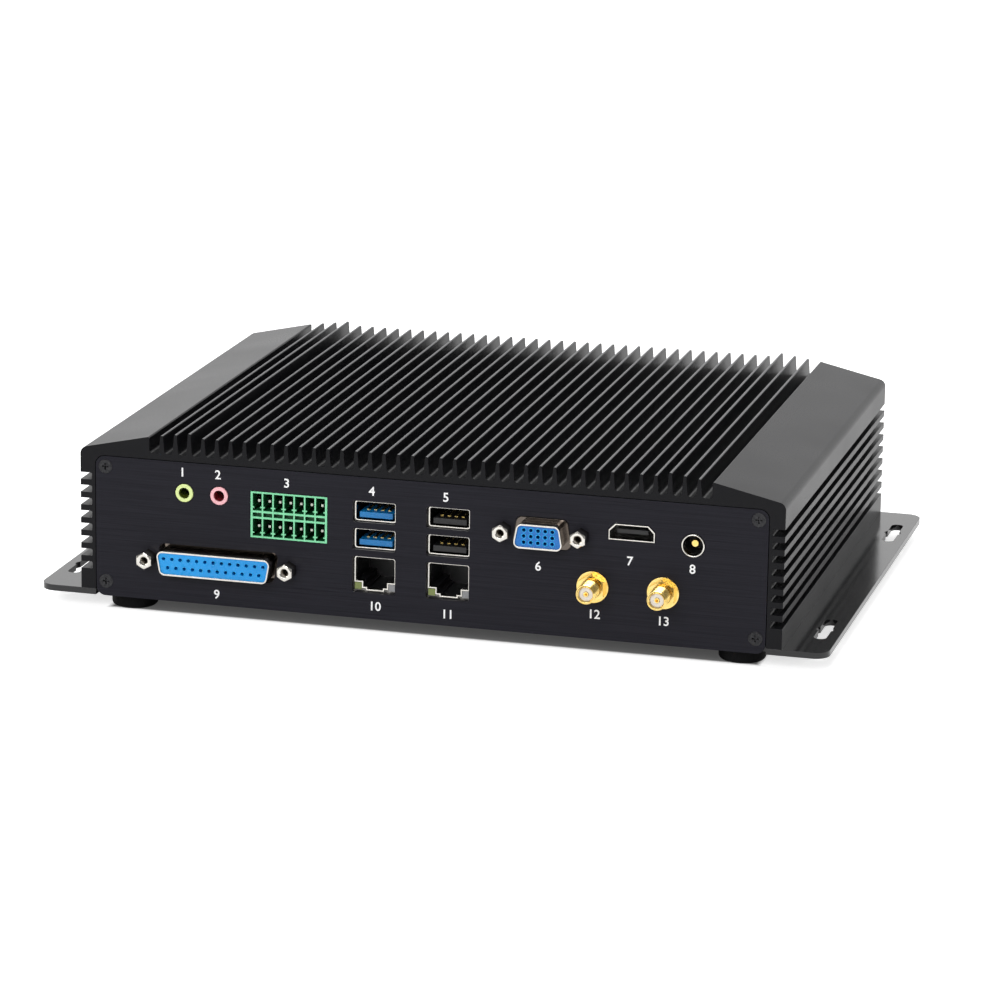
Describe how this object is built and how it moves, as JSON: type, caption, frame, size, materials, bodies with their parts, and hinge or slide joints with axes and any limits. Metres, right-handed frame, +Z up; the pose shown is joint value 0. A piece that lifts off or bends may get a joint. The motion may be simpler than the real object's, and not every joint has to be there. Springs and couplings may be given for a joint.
{
  "type": "fanless industrial computer",
  "caption": "Low finned aluminium computer case with slotted ears, rubber feet, sockets across its front and serial ports and a power button behind.",
  "frame": {"origin": "middle of the plane of the foot soles, halfway between the foremost and the rearmost point", "axes": "+X to the right seen from the front, +Y from the front panel to the rear, +Z up"},
  "size_m": [0.259, 0.1908, 0.0607],
  "materials": {
    "black_anodised": "satin black anodised",
    "black_panel": "black anodised, fine brushing along X",
    "black_sheet": "black coated sheet",
    "black_rubber": "matt rubber",
    "dark_screw": "black zinc",
    "nickel_screw": "dull nickel",
    "nickel": "bright nickel",
    "tin": "bright tin",
    "gold": "gold plated",
    "raw_aluminium": "milled",
    "lime_plastic": "pale lime",
    "pink_plastic": "pale pink",
    "green_plastic": "mint green",
    "black_plastic": "black moulding",
    "white_plastic": "white moulding",
    "blue_plastic": "blue moulding",
    "sky_plastic": "sky blue moulding",
    "royal_plastic": "royal blue moulding",
    "green_lamp": "tinted clear plastic",
    "clear_lamp": "clear plastic",
    "board_green": "solder resist"
  },
  "bodies": {
    "case": {"antenna_contacts": "gold", "antenna_insulators": "white_plastic", "antenna_nuts": "gold", "antenna_sockets": "gold", "antenna_washers": "gold", "base_screws": "dark_screw", "base_sheet": "black_sheet", "board_screws": "nickel_screw", "board_spacers": "nickel", "cell_holder": "black_plastic", "clock_cell": "nickel", "digital_port_core": "black_plastic", "digital_port_shell": "nickel", "drive": "raw_aluminium", "drive_screws": "dark_screw", "feet": "black_rubber", "foot_screws": "dark_screw", "front_jackscrews": "nickel", "front_panel": "black_panel", "heat_block": "raw_aluminium", "housing": "black_anodised", "left_socket_core": "black_plastic", "left_socket_shield": "nickel", "left_socket_tongues": "blue_plastic", "link_lamps": "green_lamp", "mainboard": "board_green", "memory_chips": "black_plastic", "memory_module": "board_green", "memory_socket": "black_plastic", "microphone_socket": "lime_plastic", "panel_screws": "nickel_screw", "parallel_port_insert": "sky_plastic", "parallel_port_shell": "nickel", "power_button_bezel": "nickel", "power_button_nut": "nickel", "power_inlet_body": "black_plastic", "power_inlet_pin": "gold", "power_inlet_sleeve": "nickel", "processor": "nickel", "radio_can": "nickel", "radio_card": "board_green", "radio_socket": "black_plastic", "rear_jackscrews": "nickel", "rear_panel": "black_panel", "right_socket_core": "black_plastic", "right_socket_shield": "nickel", "right_socket_tongues": "black_plastic", "serial_port_inserts": "black_plastic", "serial_port_pins": "gold", "serial_port_shells": "nickel", "signal_header": "green_plastic", "signal_pins": "tin", "socket_contacts": "gold", "speaker_socket": "pink_plastic", "status_lights": "clear_lamp", "traffic_lamps": "clear_lamp", "video_port_insert": "royal_plastic", "video_port_shell": "nickel"},
    "power_button": {"power_button_cap": "nickel"}
  },
  "joints": [
    {"name": "power_button_press", "type": "slide", "parent": "case", "child": "power_button", "axis": [0, -1, 0], "range_m": [0, 0.0015], "stiffness_N_per_m": 800, "springref_m": -0.001}
  ]
}
